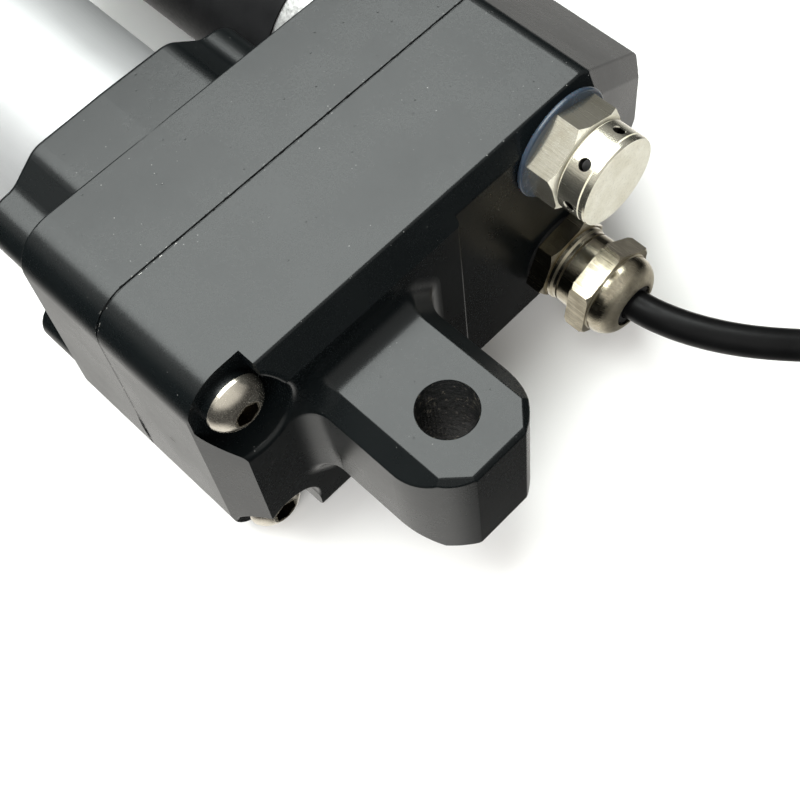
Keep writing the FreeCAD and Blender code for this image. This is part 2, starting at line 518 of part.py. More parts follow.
mag = ring(MOTOR_R - 1.35, 13.1, 94.0, 132.0, yM)
node("motor_magnets", [mag.common(poly_x([(yM - 11, -20), (yM + 11, -20), (yM + 2, 0), (yM - 2, 0)], 90, 140).fuse(box(90, 140, yM - 11, yM + 11, -20, -9))),
                       mag.common(poly_x([(yM - 11, 20), (yM + 11, 20), (yM + 2, 0), (yM - 2, 0)], 90, 140).fuse(box(90, 140, yM - 11, yM + 11, 9, 20)))])
holder = ring(MOTOR_R - 1.35, 9.2, MOTOR_RIM + 2.2, 87.6, yM)
for s in (1, -1):
    holder = holder.cut(box(81.0, 86.6, yM - 2.6, yM + 2.6, *sorted((s * 5, s * 15.0))))
node("brush_holder", holder)
node("motor_brushes", [box(81.2, 86.4, yM - 2.5, yM + 2.5, *sorted((s * 6.75, s * 14.0))).cut(cyl(6.75, 70, 100, yM)) for s in (1, -1)])

# ---------------------------------------------------------------- end-of-stroke switches
node("limit_board", box(80.0, 190.0, -4.0, 4.0, -16.2, -14.6))
node("limit_switches", [box(81.0, 87.0, -3.0, 3.0, -14.6, -12.4), box(182.0, 188.0, -3.0, 3.0, -14.6, -12.4)])

# ---------------------------------------------------------------- pressure vent
yv, zv = VENT_Y, VENT_Z
washer = ring(10.2, 5.1, X_MOTOR - 1.0, X_MOTOR, yv, zv)
washer = fillet(washer, 0.4, lambda e: abs(e.BoundBox.YLength - 20.4) < 0.1)
node("vent_washer", washer)
xh = X_MOTOR - 1.0
vb = hexagon(16.4, xh - 5.2, xh, yv, zv, 19)
vb = vb.common(spin([(xh + 1, 0), (xh + 1, 20), (xh - 4.5, 20), (xh - 4.5, 9.55), (xh - 5.2, 8.6), (xh - 5.2, 0)], yv, zv))
vb = vb.fuse(cyl(7.3, xh - 5.7, xh - 5.2, yv, zv)).fuse(cyl(4.98, xh, X_MOTOR + 8.5, yv, zv)).removeSplitter()
vb = vb.cut(cyl(3.0, xh - 6, X_MOTOR + 10, yv, zv))
node("vent_body", vb)
xc0, xc1 = xh - 5.7, 6.6
vc = spin([(xc0, 0), (xc0, 7.9), (xc0 - 0.35, 8.2), (xc1 + 1.55, 8.2), (xc1 + 1.4, 8.02), (xc1 + 1.25, 8.2), (xc1 + 0.5, 8.2), (xc1 + 0.12, 8.05), (xc1, 7.7), (xc1, 0)], yv, zv)
vc = vc.cut(cyl(6.4, xc1 + 1.9, xc0 + 1, yv, zv))
for k in range(6):
    a = math.radians(55 + 60 * k)
    vc = vc.cut(Part.makeCylinder(1.1, 8, V(xc1 + 3.2, yv, zv) + V(0, math.cos(a), math.sin(a)) * 4.0, V(0, math.cos(a), math.sin(a))))
node("vent_cap", vc)
node("vent_membrane", cyl(5.4, xc0 - 0.5, xc0, yv, zv))

# ---------------------------------------------------------------- cable gland
yg, zg = GLAND_Y, GLAND_Z
node("gland_seal_ring", ring(7.2, 6.0, X_MOTOR - 0.8, X_MOTOR, yg, zg))
xb = X_MOTOR - 0.8
gb = hexagon(15.0, xb - 3.6, xb, yg, zg, 52)
gb = gb.common(spin([(xb + 1, 0), (xb + 1, 20), (xb - 3.1, 20), (xb - 3.1, 8.66), (xb - 3.6, 7.9), (xb - 3.6, 0)], yg, zg))
gb = gb.fuse(spin([(xb - 3.6, 0), (xb - 3.6, 7.2), (xb - 4.0, 7.4), (xb - 4.6, 7.4), (xb - 5.0, 7.1), (xb - 5.6, 7.1), (xb - 5.6, 6.1), (5.6, 6.1), (5.6, 0)], yg, zg))
gb = gb.fuse(cyl(5.95, xb, X_MOTOR + 9.0, yg, zg)).removeSplitter()
gb = gb.cut(cyl(CABLE_D / 2 + 0.5, -5, 40, yg, zg)).cut(cyl(4.6, -5, 10.5, yg, zg))
node("gland_body", gb)
xn0 = xb - 6.0         # rear rim of the dome nut
nut_s = revolved([("line", (xn0, 0), (xn0, 7.1)), ("line", (xn0, 7.1), (9.4, 7.2)), ("line", (9.4, 7.2), (9.0, 8.0)), ("line", (9.0, 8.0), (4.9, 8.0)), ("line", (4.9, 8.0), (4.7, 7.8)),
                  ("line", (4.7, 7.8), (4.2, 7.8)), ("arc", (4.2, 7.8), (1.65, 6.75), (0.5, 4.6)), ("line", (0.5, 4.6), (0.5, 0)), ("line", (0.5, 0), (xn0, 0))], yg, zg)
nut_h = hexagon(16.4, 5.0, 9.1, yg, zg, 38).common(spin([(9.1, 0), (9.1, 9.0), (8.6, 9.5), (5.5, 9.5), (5.0, 9.0), (5.0, 0)], yg, zg))
nut_s = nut_s.fuse(nut_h).removeSplitter().cut(cyl(6.15, 5.0, 30, yg, zg)).cut(spin([(-1, 0), (-1, 4.25), (2.0, 4.25), (5.0, 5.6), (5.0, 0)], yg, zg))
node("gland_dome_nut", nut_s)
ins = spin([(0.9, CABLE_D / 2), (0.9, 4.1), (2.0, 4.15), (4.9, 4.5), (9.9, 4.5), (9.9, CABLE_D / 2)], yg, zg)
for k in range(10):
    a = math.radians(36 * k)
    ins = ins.cut(cyl(0.42, 0, 2.2, yg + 4.1 * math.cos(a), zg + 4.1 * math.sin(a)))
node("gland_insert", ins)

# ---------------------------------------------------------------- cable
def heading(p, deg, run, dz):
    a = math.radians(deg)
    return (p[0] - run * math.cos(a), p[1] - run * math.sin(a), p[2] + dz)


ROUTE = [(9.5, GLAND_Y, GLAND_Z), (0.5, GLAND_Y, GLAND_Z)]
for deg, run, dz in ((14, 9.0, -0.1), (27, 9.0, -0.4), (37.5, 9.0, -0.7), (44, 10.0, -1.0), (48, 12.0, -1.4), (51, 13.0, -1.5), (52.5, 14.0, -1.2)):
    ROUTE.append(heading(ROUTE[-1], deg, run, dz))
# last run: along the tangent of the coil's outer turns
r_out = COIL_R + COIL_P / 2
ROUTE.append(heading(ROUTE[-1], 53.5, 14.0, COIL_Z0 + CABLE_D / 2 - ROUTE[-1][2]))
print("route", [tuple(round(q, 2) for q in p) for p in ROUTE])


def tube_path(points, radius, label):
    P = [V(*p) for p in points]
    edges, prev, total = [], P[0], 0.0
    radii = []
    for i in range(1, len(P) - 1):
        a, b_ = (P[i - 1] - P[i]), (P[i + 1] - P[i])
        la, lb = a.Length, b_.Length
        turn = math.pi - a.getAngle(b_)
        cut = 0.45 * min(la, lb)
        R = cut / math.tan(turn / 2)
        radii.append(round(R, 1))
        a.normalize(); b_.normalize()
        s, e = P[i] + a * cut, P[i] + b_ * cut
        bis = (a + b_); bis.normalize()
        ctr = P[i] + bis * (R / math.cos(turn / 2))
        mid = ctr - bis * R
        edges.append(Part.LineSegment(prev, s).toShape())
        edges.append(Part.Arc(s, mid, e).toShape())
        prev = e
    edges.append(Part.LineSegment(prev, P[-1]).toShape())
    wire = Part.Wire(edges)
    d0 = P[1] - P[0]
    prof = Part.Wire([Part.makeCircle(radius, P[0], d0)])
    tube = wire.makePipeShell([prof], True, False)
    print(label, "radii", radii, "length", round(wire.Length, 2), "volume ratio", round(tube.Volume / (math.pi * radius ** 2 * wire.Length), 4), tube.isValid())
    return tube, wire.Length


# the coil's centre lies to the right of the last run, square to it
ex, ey, ez = ROUTE[-1]
ang = math.radians(53.5)
d = (-math.cos(ang), -math.sin(ang))
side = (d[1], -d[0])
COIL_C = (ex + side[0] * r_out, ey + side[1] * r_out)
print("coil centre", COIL_C)
cable, cable_len = tube_path(ROUTE, CABLE_D / 2, "cable")
half_w = (COIL_P + CABLE_D) / 2
coil = Part.makeCylinder(COIL_R + half_w, COIL_T, V(COIL_C[0], COIL_C[1], COIL_Z0)).cut(Part.makeCylinder(COIL_R - half_w, COIL_T, V(COIL_C[0], COIL_C[1], COIL_Z0)))
# the free end leaves the top outer turn straight, on the far side, and droops
E0 = V(COIL_C[0] - r_out, COIL_C[1], COIL_Z0 + CABLE_D / 2 + COIL_P)
ET = V(0, 24.0, -3.2)
tail = Part.makeCylinder(CABLE_D / 2, ET.Length, E0, ET).cut(coil)
room = Part.makeCylinder(COIL_R + half_w + 0.1, COIL_T + 1.0, V(COIL_C[0], COIL_C[1], COIL_Z0 - 0.5)).cut(Part.makeCylinder(COIL_R - half_w - 0.1, COIL_T + 1.0, V(COIL_C[0], COIL_C[1], COIL_Z0 - 0.5)))
cable = cable.cut(room)
print("cable left in the coil", round(cable.common(coil).Volume, 3), "end", round(tail.common(coil).Volume, 3), "solids", len(cable.Solids))
node("cable", cable)
node("cable_end", tail)
node("cable_coil", coil)
ferr = []
for k, label in ((1, "red"), (-1, "black")):
    p0 = E0 + ET + V(1.35 * k, 0, 0)
    dirn = V(2.2 * k, 16.0, -4.2)
    u = V(dirn)
    u.normalize()
    node("lead_core_" + label, Part.makeCylinder(0.95, dirn.Length, p0, dirn).cut(tail))
    ferr.append(Part.makeCylinder(0.7, 7.0, p0 + dirn, dirn))
node("core_ferrules", ferr)
TIE_A = -100.0
tie_a = math.radians(TIE_A)
tc = V(COIL_C[0] + COIL_R * math.cos(tie_a), COIL_C[1] + COIL_R * math.sin(tie_a), COIL_Z0 + COIL_T / 2)
w = half_w + 0.35
tie = Part.makeBox(2 * w + 2.1, 4.6, COIL_T + 2.35, V(-w - 1.05, -2.3, -COIL_T / 2 - 1.2))
tie = tie.cut(Part.makeBox(2 * w, 6, COIL_T + 0.2, V(-w, -3, -COIL_T / 2 - 0.1)))
tie = tie.fuse(Part.makeBox(4.4, 6.4, 4.4, V(w + 1.05, -3.2, 0)))
tie.rotate(V(0, 0, 0), V(0, 0, 1), TIE_A)
tie.translate(tc)
node("cable_tie", tie)
cl = cable_len + 1224.0 / 360.0 * 2 * math.pi * COIL_R + ET.Length
print("cable length about", round(cl, 1), "mm; tube", round(cable_len, 1))

# ---------------------------------------------------------------- write
bad = 0
for name, shape in NODES.items():
    solids = shape.Solids
    ok = all(s.isValid() for s in solids) and len(solids) > 0
    if not ok or shape.ShapeType not in ("Solid", "Compound", "CompSolid"):
        bad += 1
        print("BAD", name, shape.ShapeType, len(solids), [s.isValid() for s in solids])
    if shape.ShapeType != "Solid":
        shape = solids[0] if len(solids) == 1 else Part.makeCompound(solids)
    bb = shape.BoundBox
    print(f"{name:20s} solids {len(solids):2d} vol {shape.Volume:10.1f} faces {len(shape.Faces):4d}  x {bb.XMin:.1f}..{bb.XMax:.1f} y {bb.YMin:.1f}..{bb.YMax:.1f} z {bb.ZMin:.1f}..{bb.ZMax:.1f}")
    shape.exportStep(f"parts/{name}.step")
print("nodes", len(NODES), "bad", bad)
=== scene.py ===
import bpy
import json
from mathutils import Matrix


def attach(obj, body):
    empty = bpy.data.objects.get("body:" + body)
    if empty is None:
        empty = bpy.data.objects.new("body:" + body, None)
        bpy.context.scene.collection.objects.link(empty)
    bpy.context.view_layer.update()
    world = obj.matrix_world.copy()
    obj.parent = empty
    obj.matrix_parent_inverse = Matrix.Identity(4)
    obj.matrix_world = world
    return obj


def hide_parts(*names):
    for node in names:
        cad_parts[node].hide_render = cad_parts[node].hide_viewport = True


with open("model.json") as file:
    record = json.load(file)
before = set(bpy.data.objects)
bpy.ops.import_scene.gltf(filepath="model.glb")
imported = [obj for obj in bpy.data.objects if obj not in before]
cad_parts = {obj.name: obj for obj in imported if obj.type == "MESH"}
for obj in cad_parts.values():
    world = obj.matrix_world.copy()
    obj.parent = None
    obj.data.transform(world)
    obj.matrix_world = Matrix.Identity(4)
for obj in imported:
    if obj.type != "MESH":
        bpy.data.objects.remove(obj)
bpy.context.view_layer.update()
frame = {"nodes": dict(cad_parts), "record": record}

import json
import math

import bpy
from mathutils import Matrix, Vector

NODES = frame["nodes"]
MM = 0.001
FLOOR = -25.8

scene = bpy.context.scene
scene.view_settings.view_transform = "Standard"
scene.view_settings.look = "None"
scene.view_settings.exposure = 0.0
scene.view_settings.gamma = 1.0


# ------------------------------------------------------------------ node helpers
class Tree:
    def __init__(self, name):
        self.mat = bpy.data.materials.new(name)
        self.mat.use_nodes = True
        self.nt = self.mat.node_tree
        self.nt.nodes.clear()
        self.out = self.nt.nodes.new("ShaderNodeOutputMaterial")
        self.bsdf = self.nt.nodes.new("ShaderNodeBsdfPrincipled")
        self.link(self.bsdf.outputs[0], self.out.inputs[0])
        self.co = self.nt.nodes.new("ShaderNodeTexCoord").outputs["Object"]

    def link(self, a, b):
        self.nt.links.new(a, b)

    def put(self, socket, value):
        if isinstance(value, (int, float, tuple, list)):
            socket.default_value = value
        else:
            self.link(value, socket)

    def set(self, **kw):
        for k, v in kw.items():
            self.put(self.bsdf.inputs[k.replace("_", " ")], v)

    def scaled(self, x, y, z):
        m = self.nt.nodes.new("ShaderNodeMapping")
        m.inputs["Scale"].default_value = (x, y, z)
        self.link(self.co, m.inputs["Vector"])
        return m.outputs[0]

    def noise(self, scale, detail=3.0, rough=0.55, vec=None, distortion=0.0):
        n = self.nt.nodes.new("ShaderNodeTexNoise")
        n.inputs["Scale"].default_value = scale
        n.inputs["Detail"].default_value = detail
        n.inputs["Roughness"].default_value = rough
        n.inputs["Distortion"].default_value = distortion
        self.link(vec or self.co, n.inputs["Vector"])
        return n.outputs[0]

    def cells(self, scale, vec=None, feature="F1"):
        n = self.nt.nodes.new("ShaderNodeTexVoronoi")
        n.feature = feature
        n.inputs["Scale"].default_value = scale
        self.link(vec or self.co, n.inputs["Vector"])
        return n.outputs["Distance"]

    def ramp(self, fac, stops):
        n = self.nt.nodes.new("ShaderNodeValToRGB")
        e = n.color_ramp.elements
        while len(e) < len(stops):
            e.new(0.5)
        for el, (pos, col) in zip(e, stops):
            el.position = pos
            el.color = (col, col, col, 1) if isinstance(col, (int, float)) else (*col, 1)
        self.link(fac, n.inputs[0])
        return n.outputs[0]

    def rng(self, fac, a, b, lo, hi):
        n = self.nt.nodes.new("ShaderNodeMapRange")
        for k, v in zip(("From Min", "From Max", "To Min", "To Max"), (a, b, lo, hi)):
            n.inputs[k].default_value = v
        self.link(fac, n.inputs[0])
        return n.outputs[0]

    def mix(self, fac, a, b):
        n = self.nt.nodes.new("ShaderNodeMix")
        n.data_type = "RGBA"
        self.put(n.inputs[0], fac)
        self.put(n.inputs[6], (*a, 1) if isinstance(a, tuple) else a)
        self.put(n.inputs[7], (*b, 1) if isinstance(b, tuple) else b)
        return n.outputs[2]

    def math(self, op, a, b=0.0, c=0.0):
        n = self.nt.nodes.new("ShaderNodeMath")
        n.operation = op
        self.put(n.inputs[0], a)
        self.put(n.inputs[1], b)
        if op in ("MULTIPLY_ADD", "SMOOTH_MIN", "SMOOTH_MAX"):
            self.put(n.inputs[2], c)
        return n.outputs[0]

    def bump(self, height, strength, distance, normal=None):
        n = self.nt.nodes.new("ShaderNodeBump")
        n.inputs["Strength"].default_value = strength
        n.inputs["Distance"].default_value = distance
        self.link(height, n.inputs["Height"])
        if normal is not None:
            self.link(normal, n.inputs["Normal"])
        return n.outputs[0]

    def axis(self, which):
        n = self.nt.nodes.new("ShaderNodeSeparateXYZ")
        self.link(self.co, n.inputs[0])
        return n.outputs["XYZ".index(which)]

    def facing(self, which):
        g = self.nt.nodes.new("ShaderNodeNewGeometry")
        n = self.nt.nodes.new("ShaderNodeSeparateXYZ")
        self.link(g.outputs["Normal"], n.inputs[0])
        return n.outputs["XYZ".index(which)]


# ------------------------------------------------------------------ materials
def casting():
    """Satin black coating on a die casting: orange peel, scattered dust, pitted edges, a rough cast bore."""
    t = Tree("casting_coat")
    peel = t.noise(1700, 3.0, 0.62)
    fine = t.noise(5200, 2.0, 0.6)
    broad = t.noise(60, 4.0, 0.6)
    dust = t.ramp(t.cells(520), [(0.0, 1.0), (0.035, 0.7), (0.06, 0.0)])
    where = t.ramp(t.noise(38, 3.0, 0.6), [(0.44, 0.0), (0.62, 1.0)])
    small = t.ramp(t.cells(1400), [(0.0, 0.8), (0.06, 0.0)])
    up = t.ramp(t.facing("Z"), [(0.25, 0.25), (0.8, 1.0)])
    speck = t.math("MULTIPLY", t.math("MULTIPLY", t.math("MAXIMUM", dust, t.math("MULTIPLY", small, 0.6)), where), up)
    x, y = t.axis("X"), t.axis("Y")
    off = t.math("SQRT", t.math("ADD", t.math("MULTIPLY", x, x), t.math("MULTIPLY", y, y)))
    bore = t.ramp(t.rng(off, 0.0, 0.01, 0.0, 1.0), [(0.495, 1.0), (0.512, 0.0)])
    base = t.mix(broad, (0.0024, 0.0034, 0.0038), (0.0046, 0.0060, 0.0064))
    base = t.mix(t.math("MULTIPLY", speck, 0.62), base, (0.50, 0.50, 0.48))
    glint = t.ramp(t.noise(1100, 4.0, 0.7), [(0.58, 0.0), (0.70, 1.0)])
    base = t.mix(t.math("MULTIPLY", bore, glint), base, (0.42, 0.38, 0.30))
    rough = t.math("ADD", t.rng(broad, 0.3, 0.7, 0.25, 0.31), t.rng(peel, 0.3, 0.7, -0.012, 0.02))
    rough = t.math("ADD", rough, t.math("MULTIPLY", bore, 0.35))
    t.set(Base_Color=base, Roughness=rough, Metallic=t.math("MULTIPLY", bore, t.math("MULTIPLY", glint, 0.7)), Specular_IOR_Level=0.40)
    n = t.bump(broad, 0.08, 0.0006)
    n = t.bump(t.math("ADD", peel, t.math("MULTIPLY", fine, 0.35)), 0.075, 0.00012, n)
    pits = t.math("MULTIPLY", t.ramp(t.cells(310), [(0.0, 0.0), (0.07, 1.0)]), 1.0)
    n = t.bump(pits, 0.22, 0.00018, n)
    n = t.bump(t.math("MULTIPLY", t.noise(900, 4.0, 0.7), bore), 0.9, 0.0007, n)
    t.set(Normal=n)
    return t.mat


def steel(name, colour, lo, hi, grain=(2500, 2500, 2500), depth=0.04, spots=True, metal=1.0, shaded_sockets=()):
    """Steel; the key recesses on the given axes (y, z, radius) carry painted shade: their walls are painted near black
    and their floors darker than the head.
    """
    t = Tree(name)
    g = t.noise(1.0, 3.0, 0.6, t.scaled(*grain))
    broad = t.noise(160, 3.0, 0.6)
    dark = tuple(c * 0.72 for c in colour)
    base = t.mix(t.rng(broad, 0.3, 0.75, 0.0, 1.0), colour, dark)
    if spots:
        sp = t.ramp(t.cells(700), [(0.0, 1.0), (0.05, 0.0)])
        base = t.mix(t.math("MULTIPLY", sp, 0.55), base, tuple(c * 0.3 for c in colour))
    # painted shade in each key recess: near-black walls, a darker floor
    for y, z, r in shaded_sockets:
        dy, dz = t.math("SUBTRACT", t.axis("Y"), y), t.math("SUBTRACT", t.axis("Z"), z)
        off = t.math("SQRT", t.math("ADD", t.math("MULTIPLY", dy, dy), t.math("MULTIPLY", dz, dz)))
        painted_shade_inside = t.math("LESS_THAN", off, r)
        shaded_socket_floor = t.math("GREATER_THAN", t.math("ABSOLUTE", t.facing("X")), 0.85)
        base = t.mix(painted_shade_inside, base, t.mix(shaded_socket_floor, (0.035, 0.028, 0.020), (0.60, 0.53, 0.40)))
    t.set(Base_Color=base, Metallic=metal, Roughness=t.rng(g, 0.3, 0.7, lo, hi))
    t.set(Normal=t.bump(g, depth, 0.0001))
    return t.mat


def nickel(name, pale=(0.95, 0.92, 0.80), deep=(0.76, 0.72, 0.58), flank=0.96, ends=0.22, axis=None, outer=0.0, face=0.0):
    """Nickel plate on drawn and turned brass: warm, lined along the bar, speckled on the ends; when an axis is given,
    the hollow within the given radius and past the given face is painted near black as shade.
    """
    t = Tree(name)
    lines = t.noise(1.0, 4.0, 0.65, t.scaled(60, 3400, 3400))
    turned = t.noise(1.0, 3.0, 0.6, t.scaled(3600, 80, 80))
    broad = t.noise(260, 3.0, 0.6)
    speck = t.ramp(t.noise(2600, 2.0, 0.65), [(0.54, 0.0), (0.68, 1.0)])
    flat = t.math("ABSOLUTE", t.facing("X"))
    side = t.ramp(flat, [(0.45, 1.0), (0.8, 0.0)])
    end = t.math("SUBTRACT", 1.0, side)
    base = t.mix(t.rng(broad, 0.3, 0.7, 0.0, 1.0), pale, deep)
    base = t.mix(t.math("MULTIPLY", t.rng(lines, 0.35, 0.7, 0.0, 0.5), side), base, tuple(c * 0.55 for c in deep))
    base = t.mix(t.math("MULTIPLY", t.math("MULTIPLY", speck, end), 0.30), base, tuple(c * 0.55 for c in deep))
    r_side = t.rng(lines, 0.3, 0.7, 0.12, 0.30)
    r_end = t.rng(t.noise(900, 3.0, 0.6), 0.3, 0.7, 0.38, 0.56)
    rough = t.math("ADD", t.math("MULTIPLY", r_side, side), t.math("MULTIPLY", r_end, end))
    # painted shade: the hollow round the axis is painted near black
    if axis:
        dy, dz = t.math("SUBTRACT", t.axis("Y"), axis[0]), t.math("SUBTRACT", t.axis("Z"), axis[1])
        off = t.math("SQRT", t.math("ADD", t.math("MULTIPLY", dy, dy), t.math("MULTIPLY", dz, dz)))
        painted_shade_inside = t.math("MULTIPLY", t.math("LESS_THAN", off, outer), t.math("GREATER_THAN", t.axis("X"), face))
        base = t.mix(painted_shade_inside, base, (0.012, 0.011, 0.009))
    t.set(Base_Color=base, Metallic=t.rng(end, 0.0, 1.0, flank, ends), Roughness=rough)
    h = t.math("ADD", t.math("MULTIPLY", lines, 0.9), t.math("MULTIPLY", turned, 0.35))
    n = t.bump(h, 0.16, 0.00012)
    n = t.bump(speck, 0.06, 0.00005, n)
    t.set(Normal=n)
    return t.mat


def plastic(name, a, b, lo, hi, scale=600, depth=0.08, **more):
    t = Tree(name)
    n = t.noise(scale, 4.0, 0.6)
    m = t.noise(scale * 0.12, 3.0, 0.55)
    t.set(Base_Color=t.mix(t.rng(m, 0.3, 0.7, 0.0, 1.0), a, b), Roughness=t.rng(n, 0.3, 0.7, lo, hi), **more)
    t.set(Normal=t.bump(n, depth, 0.00012))
    return t.mat


def washer():
    t = Tree("washer_blue")
    m = t.noise(300, 3.0, 0.55)
    t.set(Base_Color=t.mix(t.rng(m, 0.3, 0.7, 0.0, 1.0), (0.022, 0.034, 0.050), (0.040, 0.055, 0.078)), Roughness=t.rng(m, 0.3, 0.7, 0.18, 0.30))
    t.set(Subsurface_Weight=0.15, Subsurface_Scale=0.0015, Normal=t.bump(m, 0.06, 0.0001))
    return t.mat


def grained():
    """Grained cast aluminium."""
    t = Tree("grained_aluminium")
    g = t.noise(1300, 4.0, 0.7)
    c = t.cells(1100)
    t.set(Base_Color=t.mix(t.rng(g, 0.35, 0.7, 0.0, 1.0), (0.62, 0.62, 0.61), (0.36, 0.36, 0.36)), Metallic=0.85, Roughness=t.rng(g, 0.3, 0.7, 0.42, 0.62))
    t.set(Normal=t.bump(t.math("ADD", g, t.math("MULTIPLY", c, 0.7)), 0.5, 0.0002))
    return t.mat


def tube_silver():
    """Pale silver anodised tube, drawn lengthwise."""
    t = Tree("tube_anodised")
    g = t.noise(1.0, 3.0, 0.6, t.scaled(60, 2400, 2400))
    m = t.noise(40, 3.0, 0.5)
    t.set(Base_Color=t.mix(t.rng(m, 0.3, 0.7, 0.0, 1.0), (0.46, 0.465, 0.47), (0.53, 0.535, 0.54)), Metallic=0.55, Roughness=t.rng(g, 0.3, 0.7, 0.40, 0.52))
    t.set(Normal=t.bump(g, 0.03, 0.0001))
    return t.mat


def bare_edge_highlight():
    """Coating worn to bright metal on a thin edge; also a painted highlight standing in for the light caught on rounded
    edges.
    """
    t = Tree("bare_edge_highlight")
    m = t.noise(2600, 3.0, 0.6)
    t.set(Base_Color=t.mix(m, (0.50, 0.49, 0.46), (0.78, 0.77, 0.74)), Metallic=0.8, Roughness=t.rng(m, 0.3, 0.7, 0.25, 0.45))
    t.set(Normal=t.bump(m, 0.2, 0.0001))
    return t.mat


def worn_coat():
    """Coating scuffed to grey on an edge."""
    t = Tree("worn_coat")
    m = t.noise(2200, 3.0, 0.6)
    t.set(Base_Color=t.mix(t.rng(m, 0.35, 0.65, 0.0, 1.0), (0.05, 0.052, 0.05), (0.20, 0.202, 0.196)), Roughness=t.rng(m, 0.3, 0.7, 0.42, 0.60))
    t.set(Normal=t.bump(m, 0.25, 0.0001))
    return t.mat


MATS = {
    "casting": casting(),
    "stainless": steel("stainless_bright", (0.80, 0.75, 0.66), 0.17, 0.28),
    "gasket": plastic("gasket_black", (0.002, 0.002, 0.002), (0.005, 0.005, 0.005), 0.60, 0.80, 900, 0.25, Specular_IOR_Level=0.05),
    "tube": tube_silver(),
    "motor_black": plastic("motor_can_black", (0.004, 0.004, 0.0045), (0.008, 0.008, 0.0085), 0.42, 0.52, 1300, 0.06, Specular_IOR_Level=0.16),
    "motor_plate": grained(),
    "nickel": nickel("nickel_plate"),
    "washer": washer(),
    "black_rubber": plastic("rubber_black", (0.008, 0.008, 0.008), (0.016, 0.016, 0.016), 0.45, 0.62, 1200, 0.12),
    "cable": plastic("cable_jacket", (0.0022, 0.0022, 0.0024), (0.0045, 0.0045, 0.0047), 0.28, 0.40, 900, 0.10, Specular_IOR_Level=0.15),
    "tie": plastic("tie_black", (0.012, 0.012, 0.012), (0.020, 0.020, 0.020), 0.40, 0.55, 800, 0.06),
    "steel": steel("steel_ground", (0.52, 0.52, 0.52), 0.24, 0.36, (900, 900, 900)),
    "rod": steel("rod_polished", (0.68, 0.68, 0.68), 0.12, 0.20, (3000, 120, 120), 0.02),
    "bronze": steel("bronze_turned", (0.62, 0.42, 0.18), 0.26, 0.40, (2400, 200, 200)),
    "gear_plastic": plastic("natural_plastic", (0.72, 0.70, 0.63), (0.80, 0.78, 0.71), 0.40, 0.52),
    "winding": steel("copper_wire", (0.62, 0.27, 0.12), 0.30, 0.42, (300, 2600, 2600), 0.2),
    "magnet": plastic("ferrite", (0.05, 0.05, 0.052), (0.08, 0.08, 0.084), 0.5, 0.65),
    "board": plastic("board_green", (0.03, 0.16, 0.07), (0.04, 0.22, 0.09), 0.35, 0.5),
    "switch": plastic("switch_black", (0.015, 0.015, 0.015), (0.03, 0.03, 0.03), 0.4, 0.55),
    "membrane": plastic("membrane_white", (0.80, 0.80, 0.79), (0.88, 0.88, 0.86), 0.7, 0.85, 1500, 0.2),
    "core_insulation": plastic("core_red", (0.32, 0.02, 0.015), (0.42, 0.03, 0.02), 0.32, 0.45),
}
SLOT = {p["node"]: p["material_slot"] for p in frame["record"]["subparts"]}
# the vent cap's hollow is painted near black as shade
OWN = {"vent_cap": nickel("nickel_cap", axis=(-0.0464, 0.0160), outer=0.00792, face=0.0073)}
# the two key recesses in the screw heads get painted shade
OWN["housing_screws"] = steel("stainless_heads", (0.84, 0.78, 0.67), 0.18, 0.29, metal=0.95, shaded_sockets=((0.02185, 0.0163, 0.00236), (0.02185, -0.0204, 0.00236)))
OWN["gland_body"] = OWN["gland_dome_nut"] = nickel("nickel_gland", (0.70, 0.64, 0.50), (0.38, 0.335, 0.245), 1.0, 0.9)
for name, ob in NODES.items():
    ob.data.materials.clear()
    ob.data.materials.append(OWN.get(name) or MATS[SLOT[name]])

# ------------------------------------------------------------------ cable
CABLE_D = 5.8
COIL_R, COIL_P = 32.0, 6.1
Z_LOW = FLOOR + 1.3 + CABLE_D / 2


def heading(p, deg, run, dz):
    a = math.radians(deg)
    return (p[0] - run * math.cos(a), p[1] - run * math.sin(a), p[2] + dz)


ROUTE = [(9.5, -46.0, -14.5), (0.5, -46.0, -14.5)]
for deg, run, dz in ((14, 9.0, -0.1), (27, 9.0, -0.4), (37.5, 9.0, -0.7), (44, 10.0, -1.0), (48, 12.0, -1.4), (51, 13.0, -1.5), (52.5, 14.0, -1.2)):
    ROUTE.append(heading(ROUTE[-1], deg, run, dz))
ROUTE.append(heading(ROUTE[-1], 53.5, 14.0, Z_LOW - ROUTE[-1][2]))
LAST = math.radians(53.5)
COIL_C = (ROUTE[-1][0] - math.sin(LAST) * (COIL_R + COIL_P / 2), ROUTE[-1][1] + math.cos(LAST) * (COIL_R + COIL_P / 2))


def ease(t, a, b):
    u = min(1.0, max(0.0, (t - a) / (b - a)))
    return u * u * (3 - 2 * u)


def coil_point(t):
    """Point after t degrees of turning from where the cable reaches the coil: low outer turn, low inner, high inner, high outer."""
    r = COIL_R + COIL_P / 2 - COIL_P * (ease(t, 285, 365) - ease(t, 865, 945))
    z = Z_LOW + COIL_P * ease(t, 575, 655)
    a = math.radians(-36.5 - t)
    return (COIL_C[0] + r * math.cos(a), COIL_C[1] + r * math.sin(a), z)


